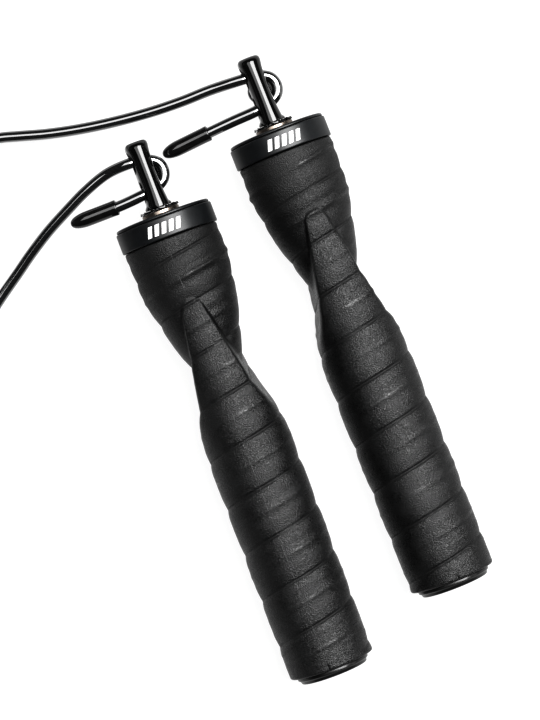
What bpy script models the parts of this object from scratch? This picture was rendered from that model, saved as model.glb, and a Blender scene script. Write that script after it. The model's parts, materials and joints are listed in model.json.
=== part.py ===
"""Jump rope with two ball-bearing handles and one coated steel cable.

Metres, +Z up. The two handles lie side by side on the floor, heads towards +Y and leaning to -X.
Each handle has a frame of its own: its origin is the centre of the collar's top face, local +Z runs
along the handle to its butt, +Y points up and +X to the right. Everything of the eyelet is at
negative local z.
"""

from math import atan2, cos, pi, radians, sin, sqrt

import bmesh
import bpy
from mathutils import Matrix, Vector

# ---------------------------------------------------------------- driving dimensions
GAP = 0.0003                # clearance between pieces that touch
CABLE_D = 0.0037            # coated steel cable, outside its sheath
COIL_LENGTH = 2.70          # of the cable, the stretch that is wound into the coil

# ball bearing, 4 x 13 x 5 mm
BEARING_BORE_R = 0.0020
BEARING_R = 0.00645
BEARING_W = 0.0050
BEARING_STAND = 0.0017      # how far it stands out of the collar
RACE_IN_R = 0.00325
RACE_OUT_R = 0.00525
RACE_GROOVE = 0.0003        # depth of the balls' grooves
BALL_COUNT = 7
BALL_R = 0.00095
BALL_PITCH_R = 0.00425
BALL_Z = BEARING_W / 2 - BEARING_STAND

# handle: collar, rubber grip, core tube and butt plug
COLLAR_R = 0.01675
COLLAR_H = 0.0080
COVER_H = 0.0009            # the cover on the collar's top
SOCKET_R = 0.0082           # the collar's socket round the core tube
SOCKET_END_Z = 0.0200
CORE_R = 0.0063
CORE_BORE_R = 0.0048
CORE_START_Z = 0.0086
CORE_END_Z = 0.1580
GRIP_R = 0.01475            # plain part of the grip
GRIP_TOP_R = 0.0162
GRIP_END_Z = 0.1603
GRIP_EDGE = 0.0013          # its rounded lower edge
NECK_R = 0.0084
CONE_Z = 0.0180             # where the grip's head starts to narrow
CONE_LENGTH = 0.0357
SPINE_Z = 0.0303            # tip of the spine between the two finger scoops
SPINE_LENGTH = 0.0474
PLUG_R = 0.0124

# eyelet: a post with two cable holes, and the shaft that turns in the bearing
EYELET_TOP_Z = -0.0259
EYELET_HALF_W = 0.0033
EYELET_HEAD_EXTRA = 0.0006
LEG_INNER = 0.0025          # half the cable holes' height, across the handle's axis
LEG_OUTER = 0.0055
HOLES = ((-0.0127, -0.0061), (-0.0228, -0.0159))    # lower and upper cable hole, along the axis
BOSS_R = 0.0042             # round boss on the lower leg, behind the cable's bend
BOSS_X = {"left": 0.0014, "right": 0.0005}
BOSS_Z = -0.0143
SHAFT_R = BEARING_BORE_R - GAP
SHAFT_END_Z = 0.0095
WASHER_Z = -BEARING_STAND - GAP
WASHER_T = 0.0005

# end cap on the cable's tail
CAP_R = 0.0026
CAP_NOSE = 0.0062           # length of its rounded end
CAP_BORE = 0.0085
CABLE_IN_CAP = 0.0075

# ---------------------------------------------------------------- layout on the floor
# A handle rests on its collar's lower rim and on the end of its grip, which tilts it a little.
COLLAR_SIDES = 36
COLLAR_FLAT_R = COLLAR_R * cos(pi / COLLAR_SIDES)
TILT = atan2(COLLAR_FLAT_R - GRIP_R, GRIP_END_Z - COLLAR_H)
AXIS_Z = COLLAR_FLAT_R * cos(TILT) + COLLAR_H * sin(TILT)

SIDES = {
    "left": {
        "collar_top": (-0.0475, 0.0514),
        "heading": radians(20.7),
        "handle_roll": radians(5),
        "eyelet_roll": radians(-9),
        # the tail, in the handle's level frame: right, up, and along the handle
        "tail": [(-0.0085, 0.0004, -0.0080), (-0.0130, -0.0002, -0.0078)],
        "cap_tip": (-0.0295, -0.0022, -0.0078),
        # the free cable from the eyelet to the coil
        "run": [
            (-0.0659, 0.0653, 0.0153),
            (-0.0730, 0.0597, 0.0135),
            (-0.0794, 0.0533, 0.0116),
            (-0.0859, 0.0463, 0.0096),
            (-0.0919, 0.0387, 0.0076),
            (-0.0962, 0.0326, 0.0062),
            (-0.1025, 0.0238, 0.0043),
            (-0.1083, 0.0148, 0.0030),
        ],
    },
    "right": {
        "collar_top": (-0.0096, 0.0796),
        "heading": radians(21.6),
        "handle_roll": radians(-5),
        "eyelet_roll": radians(-5),
        "tail": [(-0.0120, -0.0004, -0.0081), (-0.0209, -0.0016, -0.0076)],
        "cap_tip": (-0.0379, -0.0042, -0.0064),
        "run": [
            (-0.0313, 0.0933, 0.0152),
            (-0.0410, 0.0896, 0.0136),
            (-0.0506, 0.0865, 0.0119),
            (-0.0622, 0.0835, 0.0098),
            (-0.0746, 0.0810, 0.0077),
            (-0.0863, 0.0794, 0.0059),
            (-0.0963, 0.0787, 0.0046),
            (-0.1025, 0.0782, 0.0041),
            (-0.1160, 0.0754, 0.0045),
            (-0.1302, 0.0694, 0.0069),
            (-0.1442, 0.0603, 0.0108),
        ],
    },
}

# The cable's way through the eyelet, in the frame that rolls with the eyelet: in at the upper hole,
# round the web on the right, and back through the lower hole.
LOOP = [
    (-0.0045, 0.0, -0.0199),
    (-0.0005, 0.0, -0.0196),
    (0.0027, 0.0, -0.0187),
    (0.0051, 0.0, -0.0170),
    (0.0060, 0.0, -0.0142),
    (0.0051, 0.0, -0.0115),
    (0.0027, 0.0, -0.0098),
    (-0.0005, 0.0, -0.0089),
    (-0.0042, 0.0, -0.0084),
]

# The coil: the cable spirals in and out through its layers.
COIL_CENTRE = Vector((-0.1380, 0.0250))
COIL_LAYERS = 4
COIL_TURNS = 19.53
COIL_PITCH = CABLE_D + 0.0001
COIL_MID_R = COIL_LENGTH / (2 * pi * COIL_TURNS)
COIL_START = radians(320)
COIL_LIFT = 0.0014          # thickness of the ties under the coil, with their gap

MATERIALS = {
    "grip_rubber": ((0.030, 0.030, 0.032, 1), 0.62, 0.0),
    "collar_plastic": ((0.060, 0.066, 0.076, 1), 0.42, 0.0),
    "core_plastic": ((0.45, 0.45, 0.44, 1), 0.55, 0.0),
    "black_gloss": ((0.012, 0.012, 0.013, 1), 0.12, 0.0),
    "black_metal": ((0.015, 0.015, 0.016, 1), 0.14, 0.9),
    "bearing_steel": ((0.62, 0.60, 0.57, 1), 0.22, 1.0),
    "zinc_steel": ((0.55, 0.56, 0.58, 1), 0.32, 1.0),
    "nylon": ((0.75, 0.73, 0.66, 1), 0.50, 0.0),
    "cable_sheath": ((0.045, 0.047, 0.050, 1), 0.20, 0.0),
    "tie_strap": ((0.020, 0.020, 0.022, 1), 0.85, 0.0),
}


# ---------------------------------------------------------------- scene helpers
def clear_scene():
    for obj in list(bpy.data.objects):
        bpy.data.objects.remove(obj, do_unlink=True)


def new_collection(name):
    collection = bpy.data.collections.new(name)
    bpy.context.scene.collection.children.link(collection)
    return collection


def material(name):
    """The named Principled material, made on its first use."""
    mat = bpy.data.materials.get(name)
    if mat is None:
        color, roughness, metallic = MATERIALS[name]
        mat = bpy.data.materials.new(name)
        mat.use_nodes = True
        shader = mat.node_tree.nodes["Principled BSDF"]
        shader.inputs["Base Color"].default_value = color
        shader.inputs["Roughness"].default_value = roughness
        shader.inputs["Metallic"].default_value = metallic
    return mat


def add_part(name, data, mat_name, parent=None, collection=None):
    """Links a new object to the rope's collection (or to the cutters), under its parent."""
    obj = bpy.data.objects.new(name, data)
    (collection or PARTS).objects.link(obj)
    if mat_name:
        data.materials.append(material(mat_name))
    obj.parent = parent
    return obj


def add_cutter(name, data, parent=None):
    return hidden(add_part(name, data, None, parent, CUTTERS))


def hidden(cutter):
    cutter.hide_render = True
    cutter.display_type = "WIRE"
    return cutter


def boolean(obj, other, operation):
    mod = obj.modifiers.new(operation.title(), "BOOLEAN")
    mod.operation = operation
    mod.object = other
    mod.solver = "EXACT"


def mesh_from(bm, name, sharp_angle=35):
    mesh = bpy.data.meshes.new(name)
    bm.to_mesh(mesh)
    bm.free()
    mesh.shade_smooth()
    mesh.set_sharp_from_angle(angle=radians(sharp_angle))
    return mesh


def signed_area(profile):
    closed = zip(profile, profile[1:] + profile[:1])
    return sum(r0 * z1 - r1 * z0 for (r0, z0), (r1, z1) in closed) / 2


def turned_mesh(name, profile):
    """A profile of (radius, z) turned about Z. It is closed where it stays clear of the axis."""
    if signed_area(profile) > 0:
        profile = profile[::-1]
    on_axis = [radius == 0 for radius, _ in profile]
    if any(on_axis):
        # starts and ends on the axis, so the open side lies along it
        while not (profile[0][0] == 0 and profile[-1][0] == 0):
            profile = profile[1:] + profile[:1]
    mesh = bpy.data.meshes.new(name)
    count = len(profile)
    edges = [(i, i + 1) for i in range(count - 1)]
    if not any(on_axis):
        edges.append((count - 1, 0))
    mesh.from_pydata([(radius, 0, z) for radius, z in profile], edges, [])
    return mesh


def turned(name, profile, mat_name, parent=None, steps=28, collection=None):
    """A turned part: its profile with a Screw modifier."""
    obj = add_part(name, turned_mesh(name, profile), mat_name, parent, collection)
    mod = obj.modifiers.new("Screw", "SCREW")
    mod.axis = "Z"
    mod.steps = mod.render_steps = steps
    mod.use_merge_vertices = True
    mod.merge_threshold = 0.00001
    mod.use_smooth_shade = True
    return obj


def ring_points(radius, count, z=0.0, phase=0.0):
    step = 2 * pi / count
    return [Vector((radius * cos(phase + i * step), radius * sin(phase + i * step), z)) for i in range(count)]


def flat_mesh(name, outlines, thickness):
    """Closed outlines in the XY plane, the later ones holes, as a plate centred on z = 0."""
    curve = bpy.data.curves.new(name, "CURVE")
    curve.dimensions = "2D"
    curve.fill_mode = "BOTH"
    curve.extrude = thickness / 2
    for outline in outlines:
        spline = curve.splines.new("POLY")
        spline.points.add(len(outline) - 1)
        for point, (x, y) in zip(spline.points, outline):
            point.co = (x, y, 0, 1)
        spline.use_cyclic_u = True
    return welded_mesh(bpy.data.objects.new(name, curve), name)


def welded_mesh(curve_obj, name):
    """The curve's evaluated mesh with its loose caps welded on; the curve is removed."""
    bpy.context.scene.collection.objects.link(curve_obj)
    depsgraph = bpy.context.evaluated_depsgraph_get()
    mesh = bpy.data.meshes.new_from_object(curve_obj.evaluated_get(depsgraph))
    mesh.name = name
    curve = curve_obj.data
    bpy.data.objects.remove(curve_obj)
    bpy.data.curves.remove(curve)
    bm = bmesh.new()
    bm.from_mesh(mesh)
    bmesh.ops.remove_doubles(bm, verts=bm.verts, dist=0.000005)
    bm.to_mesh(mesh)
    bm.free()
    return mesh


def loft_mesh(name, rings):
    """Rings with the same number of points, joined one to the next and the last to the first."""
    bm = bmesh.new()
    verts = [[bm.verts.new(point) for point in ring] for ring in rings]
    count = len(rings[0])
    for ring, after in zip(verts, verts[1:] + verts[:1]):
        for i in range(count):
            j = (i + 1) % count
            bm.faces.new((ring[i], ring[j], after[j], after[i]))
    bmesh.ops.recalc_face_normals(bm, faces=bm.faces)
    return mesh_from(bm, name)


# ---------------------------------------------------------------- paths
def catmull_rom(points, per_span=16):
    """A smooth curve through the points, as many close points (centripetal Catmull-Rom)."""
    points = [Vector(p) for p in points]
    first = points[0] * 2 - points[1]
    last = points[-1] * 2 - points[-2]
    path = []
    chain = [first] + points + [last]
    for p0, p1, p2, p3 in zip(chain, chain[1:], chain[2:], chain[3:]):
        t1 = sqrt((p1 - p0).length)
        t2 = t1 + sqrt((p2 - p1).length)
        t3 = t2 + sqrt((p3 - p2).length)
        for i in range(per_span):
            t = t1 + (t2 - t1) * i / per_span
            a1 = p0.lerp(p1, t / t1)
            a2 = p1.lerp(p2, (t - t1) / (t2 - t1))
            a3 = p2.lerp(p3, (t - t2) / (t3 - t2))
            b1 = a1.lerp(a2, t / t2)
            b2 = a2.lerp(a3, (t - t1) / (t3 - t1))
            path.append(b1.lerp(b2, (t - t1) / (t2 - t1)))
    return path + [points[-1]]


def thinned(path, max_step, max_turn=radians(16), end_step=0.0012):
    """The path's points that a tube needs: one every max_step, more at bends, one near each end."""
    kept = [path[0]]
    run = turn = 0.0
    for before, here, after in zip(path, path[1:], path[2:]):
        run += (here - before).length
        turn += (here - before).angle(after - here, 0.0)
        near_start = len(kept) == 1 and run >= end_step
        if run >= max_step or turn >= max_turn or near_start:
            kept.append(here)
            run = turn = 0.0
    near_end = next(p for p in reversed(path) if (path[-1] - p).length >= end_step)
    while len(kept) > 2 and (path[-1] - kept[-1]).length < CABLE_D / 2:
        kept.pop()
    return kept + [near_end, path[-1]]


def trimmed(path, amount):
    """The path without its last stretch of this length."""
    path = list(path)
    while amount > 0:
        step = (path[-2] - path[-1]).length
        if step > amount:
            path[-1] = path[-1].lerp(path[-2], amount / step)
            break
        amount -= step
        path.pop()
    return path


def tube(name, points, radius, mat_name):
    curve = bpy.data.curves.new(name, "CURVE")
    curve.dimensions = "3D"
    curve.bevel_depth = radius
    curve.bevel_resolution = 2
    curve.use_fill_caps = True
    spline = curve.splines.new("POLY")
    spline.points.add(len(points) - 1)
    for point, co in zip(spline.points, points):
        point.co = (*co, 1)
    return add_part(name, curve, mat_name)


# ---------------------------------------------------------------- frames
def add_empty(name, matrix):
    empty = bpy.data.objects.new(name, None)
    PARTS.objects.link(empty)
    empty.matrix_world = matrix
    return empty


def side_matrix(side):
    """World matrix of a handle's frame, level across and tilted to rest on the floor."""
    heading = side["heading"]
    along = Vector((sin(heading) * cos(TILT), -cos(heading) * cos(TILT), -sin(TILT)))
    right = Vector((cos(heading), sin(heading), 0))
    up = along.cross(right)
    turn = Matrix((right, up, along)).transposed().to_4x4()
    x, y = side["collar_top"]
    return Matrix.Translation((x, y, AXIS_Z)) @ turn


# ---------------------------------------------------------------- the handle's own pieces

def grip_cone_radius(z):
    """The head's cone: straight under the collar, then narrowing faster and faster to the neck."""
    t = min(max((z - CONE_Z) / CONE_LENGTH, 0.0), 1.25)
    return GRIP_TOP_R - (GRIP_TOP_R - NECK_R) * t ** 1.6


def grip_spine_half_width(z):
    """Half width between the two finger scoops, from the spine's tip to the plain cylinder."""
    t = (z - SPINE_Z) / SPINE_LENGTH
    flare = min(max((t - 0.65) / 0.30, 0.0), 1.0)
    return 0.0033 + 0.0098 * t + 0.0016 * flare * flare * (3 - 2 * flare)


def grip_radius(angle, z):
    """Larger of the cone and of the cylinder cut flat by the scoops; angle 0 is the right side."""
    if z < SPINE_Z:
        return grip_cone_radius(z)
    side = abs(cos(angle))
    scooped = min(GRIP_R, grip_spine_half_width(z) / max(side, 0.01))
    return max(grip_cone_radius(z), scooped)


def build_grip(name, parent):
    count = 32
    bottom = GRIP_END_Z
    stations = [COLLAR_H + GAP, CONE_Z, (CONE_Z + SPINE_Z) / 2, SPINE_Z]
    stations += [SPINE_Z + SPINE_LENGTH * i / 12 for i in range(1, 13)]
    stations += [bottom - GRIP_EDGE]
    rings = []
    for z in stations:
        ring = [(grip_radius(2 * pi * i / count, z), 2 * pi * i / count) for i in range(count)]
        rings.append([Vector((r * cos(a), r * sin(a), z)) for r, a in ring])
    rings.append(ring_points(GRIP_R - GRIP_EDGE, count, bottom))
    bore = CORE_R + GAP
    rings.append(ring_points(bore, count, bottom))
    rings.append(ring_points(bore, count, SOCKET_END_Z + GAP))
    rings.append(ring_points(SOCKET_R + GAP, count, SOCKET_END_Z + GAP))
    rings.append(ring_points(SOCKET_R + GAP, count, COLLAR_H + GAP))
    return add_part(name, loft_mesh(name, rings), "grip_rubber", parent)


def build_handle(tag, parent):
    """The pieces that turn with the hand: grip, core, collar, bearing housing and plug."""
    build_grip(f"grip_{tag}", parent)
    turned(
        f"core_tube_{tag}",
        [
            (CORE_R, CORE_START_Z), (CORE_R, CORE_END_Z),
            (CORE_BORE_R, CORE_END_Z), (CORE_BORE_R, CORE_START_Z),
        ],
        "core_plastic", parent, 24,
    )
    seat_r = BEARING_R + GAP
    seat_z = BEARING_W - BEARING_STAND + GAP
    turned(
        f"collar_{tag}",
        [
            (COLLAR_R, COLLAR_H), (COLLAR_R, COVER_H + GAP + 0.0004), (COLLAR_R - 0.0004, COVER_H + GAP),
            (seat_r, COVER_H + GAP), (seat_r, seat_z), (0.0055, seat_z), (0.0055, COLLAR_H),
            (CORE_R + GAP, COLLAR_H), (CORE_R + GAP, SOCKET_END_Z), (SOCKET_R, SOCKET_END_Z),
            (SOCKET_R, COLLAR_H),
        ],
        "collar_plastic", parent, COLLAR_SIDES,
    )
    turned(
        f"head_cover_{tag}",
        [
            (COLLAR_R - 0.0006, COVER_H), (COLLAR_R - 0.0006, 0.0003), (COLLAR_R - 0.0010, 0.0),
            (seat_r, 0.0), (seat_r, COVER_H),
        ],
        "collar_plastic", parent, COLLAR_SIDES,
    )
    top, groove = -BEARING_STAND, BALL_Z
    turned(
        f"bearing_outer_ring_{tag}",
        [
            (BEARING_R, top + 0.0002), (BEARING_R - 0.0002, top), (RACE_OUT_R, top),
            (RACE_OUT_R, groove - 0.0009), (RACE_OUT_R + RACE_GROOVE, groove),
            (RACE_OUT_R, groove + 0.0009),
            (RACE_OUT_R, top + BEARING_W), (BEARING_R, top + BEARING_W),
        ],
        "bearing_steel", parent, 28,
    )
    shield_z = top + 0.0003
    turned(
        f"bearing_shield_{tag}",
        [
            (RACE_OUT_R - GAP, shield_z), (RACE_IN_R + GAP, shield_z),
            (RACE_IN_R + GAP, shield_z + 0.0003), (RACE_OUT_R - GAP, shield_z + 0.0003),
        ],
        "zinc_steel", parent, 20,
    )
    plug_top = GRIP_END_Z + GAP
    turned(
        f"butt_plug_{tag}",
        [
            (0, 0.1490), (CORE_BORE_R - GAP, 0.1490), (CORE_BORE_R - GAP, plug_top), (PLUG_R, plug_top),
            (PLUG_R, plug_top + 0.0009), (PLUG_R - 0.0006, plug_top + 0.0012),
            (PLUG_R - 0.0010, plug_top + 0.0024), (PLUG_R - 0.0032, plug_top + 0.0024),
            (PLUG_R - 0.0036, plug_top + 0.0020), (0, plug_top + 0.0020),
        ],
        "black_gloss", parent, 28,
    )


# ---------------------------------------------------------------- the bearing's rolling set

def build_rolling_set(tag, parent):
    """Seven balls and the cage that spaces them, with a round pocket for each ball."""
    cage_h, pocket_r = 0.0034, 0.00125
    cage = turned(
        f"bearing_cage_{tag}",
        [
            (0.0046, BALL_Z - cage_h / 2), (0.0046, BALL_Z + cage_h / 2),
            (0.0039, BALL_Z + cage_h / 2), (0.0039, BALL_Z - cage_h / 2),
        ],
        "nylon", parent, 28,
    )
    bm = bmesh.new()
    for i in range(BALL_COUNT):
        spin = Matrix.Rotation(2 * pi * i / BALL_COUNT, 4, "Z")
        place = spin @ Matrix.Translation((0.0045, 0, BALL_Z)) @ Matrix.Rotation(pi / 2, 4, "Y")
        bmesh.ops.create_cone(
            bm, cap_ends=True, segments=10, radius1=pocket_r, radius2=pocket_r, depth=0.0024, matrix=place
        )
    boolean(cage, add_cutter(f"cage_pockets_{tag}", mesh_from(bm, "cage_pockets"), parent), "DIFFERENCE")
    bm = bmesh.new()
    bmesh.ops.create_icosphere(bm, subdivisions=2, radius=BALL_R)
    ball = mesh_from(bm, "bearing_ball", sharp_angle=180)
    ball.materials.append(material("bearing_steel"))
    for i in range(BALL_COUNT):
        angle = 2 * pi * i / BALL_COUNT
        obj = add_part(f"bearing_ball_{tag}_{i + 1}", ball, None, parent)
        obj.location = (BALL_PITCH_R * cos(angle), BALL_PITCH_R * sin(angle), BALL_Z)


# ---------------------------------------------------------------- the rope's pieces at each eyelet

def stadium(half_x, y0, y1, radius, count=4):
    """A rectangle from y0 to y1 with rounded corners."""
    points = []
    for cx, cy, start in (
        (half_x - radius, y1 - radius, 0), (-half_x + radius, y1 - radius, 90),
        (-half_x + radius, y0 + radius, 180), (half_x - radius, y0 + radius, 270),
    ):
        for i in range(count):
            angle = radians(start + 90 * i / (count - 1))
            points.append((cx + radius * cos(angle), cy + radius * sin(angle)))
    return points


def build_eyelet(tag, parent):
    """A cast post: two legs joined by head, web and base, a boss on the lower leg, and a shaft."""
    base_z = WASHER_Z - WASHER_T - GAP
    outline = stadium(LEG_OUTER, EYELET_TOP_Z, base_z - 0.0012, 0.0026)
    holes = [stadium(LEG_INNER, z0, z1, 0.0018, 3) for z0, z1 in HOLES]
    name = f"eyelet_{tag}"
    mesh = flat_mesh(name, [outline] + holes, 2 * EYELET_HALF_W)
    middle = (EYELET_TOP_Z + base_z) / 2
    half_length = (base_z - EYELET_TOP_Z) / 2
    for vert in mesh.vertices:
        # the outline's X is up, its Y is along the handle, and its thickness is across
        up, along, across = vert.co
        swell = abs((along - middle) / half_length) ** 3
        across *= 1 + swell * EYELET_HEAD_EXTRA / EYELET_HALF_W
        vert.co = (across, up, along)
    bm = bmesh.new()
    bm.from_mesh(mesh)
    bmesh.ops.dissolve_limit(bm, angle_limit=radians(1), verts=bm.verts, edges=bm.edges)
    bmesh.ops.recalc_face_normals(bm, faces=bm.faces)
    bm.to_mesh(mesh)
    bm.free()
    obj = add_part(name, mesh, "black_metal", parent)
    bevel = obj.modifiers.new("Bevel", "BEVEL")
    bevel.width = 0.0011
    bevel.segments = 2
    bevel.limit_method = "ANGLE"
    bevel.angle_limit = radians(50)
    bm = bmesh.new()
    centre = (BOSS_X[tag], -(LEG_INNER + LEG_OUTER) / 2, BOSS_Z)
    place = Matrix.Translation(centre) @ Matrix.Rotation(pi / 2, 4, "X")
    depth = LEG_OUTER - LEG_INNER - 0.0006
    bmesh.ops.create_cone(
        bm, cap_ends=True, segments=24, radius1=BOSS_R, radius2=BOSS_R, depth=depth, matrix=place
    )
    boolean(obj, add_cutter(f"eyelet_boss_{tag}", mesh_from(bm, "eyelet_boss"), parent), "UNION")
    foot = turned(
        f"eyelet_foot_{tag}",
        [
            (0, base_z - 0.0026), (0.0036, base_z - 0.0026), (0.0046, base_z - 0.0006), (0.0046, base_z),
            (SHAFT_R, base_z), (SHAFT_R, SHAFT_END_Z - 0.0004), (SHAFT_R - 0.0004, SHAFT_END_Z),
            (0, SHAFT_END_Z),
        ],
        None, parent, 20, CUTTERS,
    )
    boolean(obj, hidden(foot), "UNION")
    return obj


def build_tooth_washer(tag, parent):
    teeth, tip_r, root_r, hole_r = 14, 0.00665, 0.0056, BEARING_BORE_R
    outline = []
    for i in range(teeth):
        for share, radius in ((0.0, root_r), (0.30, root_r), (0.42, tip_r), (0.88, tip_r)):
            angle = 2 * pi * (i + share) / teeth
            outline.append((radius * cos(angle), radius * sin(angle)))
    hole = [point.xy for point in ring_points(hole_r, 20)]
    name = f"tooth_washer_{tag}"
    obj = add_part(name, flat_mesh(name, [outline, hole], WASHER_T), "black_metal", parent)
    obj.location.z = WASHER_Z - WASHER_T / 2
    return obj


def build_inner_stack(tag, parent):
    """What the shaft clamps: the bearing's inner ring, a washer and the lock nut."""
    top, groove = -BEARING_STAND, BALL_Z
    bottom = top + BEARING_W
    turned(
        f"bearing_inner_ring_{tag}",
        [
            (BEARING_BORE_R, top), (RACE_IN_R, top), (RACE_IN_R, groove - 0.0008),
            (RACE_IN_R - RACE_GROOVE, groove), (RACE_IN_R, groove + 0.0008), (RACE_IN_R, bottom),
            (BEARING_BORE_R, bottom),
        ],
        "bearing_steel", parent, 24,
    )
    washer_z = bottom + GAP
    turned(
        f"thrust_washer_{tag}",
        [(BEARING_BORE_R, washer_z), (0.0038, washer_z), (0.0038, washer_z + 0.0006),
         (BEARING_BORE_R, washer_z + 0.0006)],
        "zinc_steel", parent, 20,
    )
    nut_h, nut_corner_r = 0.0038, 0.00404
    hexagon = [point.xy for point in ring_points(nut_corner_r, 6)]
    hole = [point.xy for point in ring_points(BEARING_BORE_R, 20)]
    name = f"lock_nut_{tag}"
    nut = add_part(name, flat_mesh(name, [hexagon, hole], nut_h), "zinc_steel", parent)
    nut.location.z = washer_z + 0.0006 + GAP + nut_h / 2


def build_end_cap(tag, base, tip):
    """A bullet-shaped cap, open at its base, where the cable goes in."""
    length = (tip - base).length
    bore_r = CABLE_D / 2 + GAP
    nose = [
        (CAP_R * cos(radians(a)) ** 0.8, length - CAP_NOSE + CAP_NOSE * sin(radians(a)))
        for a in (15, 35, 52, 68, 80)
    ]
    cap = turned(
        f"end_cap_{tag}",
        [(bore_r, 0.0003), (bore_r + 0.0001, 0.0), (CAP_R - 0.0001, 0.0), (CAP_R, 0.0003)]
        + nose + [(0, length), (0, CAP_BORE), (bore_r, CAP_BORE)],
        "black_gloss", None, 16,
    )
    cap.rotation_mode = "QUATERNION"
    cap.rotation_quaternion = (tip - base).to_track_quat("Z", "Y")
    cap.location = base
    return cap


# ---------------------------------------------------------------- the coil
def coil_radius(turn):
    """Radius of the centreline after this many turns: in on even layers, out on odd ones."""
    per_layer = COIL_TURNS / COIL_LAYERS
    layer = min(int(turn / per_layer), COIL_LAYERS - 1)
    inwards = turn - layer * per_layer
    if layer % 2:
        inwards = per_layer - inwards
    return COIL_MID_R + COIL_PITCH * (per_layer / 2 - inwards)


def coil_point(turn):
    angle = COIL_START - 2 * pi * turn
    per_layer = COIL_TURNS / COIL_LAYERS
    layer = min(int(turn / per_layer), COIL_LAYERS - 1)
    climb = min((turn - layer * per_layer) / 0.25, 1.0) if layer else 1.0
    height = COIL_LIFT + CABLE_D / 2 + COIL_PITCH * (max(layer - 1, 0) + climb * (layer > 0))
    radius = coil_radius(turn)
    return Vector((COIL_CENTRE.x + radius * cos(angle), COIL_CENTRE.y + radius * sin(angle), height))


def build_coil():
    """The coil's outer shape as one turned ring, and two straps that hold it."""
    half_w = COIL_PITCH * COIL_TURNS / COIL_LAYERS / 2 + CABLE_D / 2
    inner, outer = COIL_MID_R - half_w, COIL_MID_R + half_w
    height = COIL_PITCH * COIL_LAYERS
    edge = CABLE_D / 2
    top = COIL_LIFT + height
    ring = turned(
        "cable_coil",
        [
            (outer - edge, COIL_LIFT), (outer, COIL_LIFT + edge), (outer, top - edge), (outer - edge, top),
            (inner + edge, top), (inner, top - edge), (inner, COIL_LIFT + edge), (inner + edge, COIL_LIFT),
        ],
        "cable_sheath", None, 36,
    )
    ring.location = (COIL_CENTRE.x, COIL_CENTRE.y, 0)
    strap_t, strap_w = COIL_LIFT - GAP, 0.0070
    middle_z = COIL_LIFT + height / 2
    half_h = height / 2 + GAP
    half_r = half_w + GAP + 0.0010
    outline = stadium(half_r + strap_t, -half_h - strap_t, half_h + strap_t, 0.0030)
    inside = stadium(half_r, -half_h, half_h, 0.0016)
    for index, angle in enumerate((radians(75), radians(235)), start=1):
        name = f"coil_tie_{index}"
        strap = add_part(name, flat_mesh(name, [outline, inside], strap_w), "tie_strap")
        spot = (COIL_MID_R * cos(angle), COIL_MID_R * sin(angle), middle_z)
        place = Matrix.Translation((COIL_CENTRE.x, COIL_CENTRE.y, 0)) @ Matrix.Translation(spot)
        # the outline's X points out of the coil and its Y up
        strap.matrix_world = place @ Matrix.Rotation(angle, 4, "Z") @ Matrix.Rotation(pi / 2, 4, "X")


# ---------------------------------------------------------------- the whole rope
def coil_clearance(point):
    """How far a point lies outside the coil's outermost turn, seen from above."""
    outer = COIL_MID_R + COIL_PITCH * COIL_TURNS / COIL_LAYERS / 2 + CABLE_D / 2
    return (point.xy - COIL_CENTRE).length - outer


def build_cable(tag, side, frame):
    """One side's cable: the free run to the coil, and the loop through the eyelet with its tail."""
    rolled = frame @ Matrix.Rotation(side["eyelet_roll"], 4, "Z")
    local = [rolled @ Vector(p) for p in LOOP] + [frame @ Vector(p) for p in side["tail"]]
    tip = frame @ Vector(side["cap_tip"])
    base = local[-1]
    into_cap = base + (tip - base).normalized() * CABLE_IN_CAP
    coil_end = coil_point(0 if tag == "left" else COIL_TURNS)
    run = [Vector(p) for p in side["run"]]
    whole = catmull_rom([coil_end] + run[::-1] + local + [into_cap])
    eye = local[1]
    split = min(range(len(whole)), key=lambda i: (whole[i] - eye).length)
    free = [p for p in whole[: split + 1] if coil_clearance(p) > CABLE_D / 2 + GAP]
    free = trimmed(free, GAP)
    tube(f"cable_{tag}", thinned(free, 0.0085), CABLE_D / 2, "cable_sheath")
    tube(f"cable_loop_{tag}", thinned(whole[split:], 0.0080), CABLE_D / 2, "cable_sheath")
    build_end_cap(tag, base, tip)


def build_side(tag, side):
    frame = side_matrix(side)
    handle = add_empty(f"handle_axis_{tag}", frame @ Matrix.Rotation(side["handle_roll"], 4, "Z"))
    build_handle(tag, handle)
    build_rolling_set(tag, add_empty(f"cage_axis_{tag}", frame))
    rope = add_empty(f"eyelet_axis_{tag}", frame @ Matrix.Rotation(side["eyelet_roll"], 4, "Z"))
    build_eyelet(tag, rope)
    build_tooth_washer(tag, rope)
    build_inner_stack(tag, rope)
    build_cable(tag, side, frame)


clear_scene()
PARTS = new_collection("jump_rope")
CUTTERS = new_collection("cutters")
for side_tag, side_values in SIDES.items():
    build_side(side_tag, side_values)
build_coil()
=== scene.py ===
# %% [markdown]
# # A jump rope, dressed for its portrait
#
# The rope has two rubber-covered handles. In the head of each one sits a small ball bearing, and a
# black post stands on the bearing with two cross holes. The coated steel cable goes in at one hole,
# bends round, comes back through the other and ends in a pointed cap. The solid model of all this
# is loaded first. It stays where it is, and every piece made below is laid over it.

# %% Load the solid model
import json
from math import atan2, cos, degrees, pi, radians, sin

import bpy
import numpy as np
from mathutils import Matrix


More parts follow.
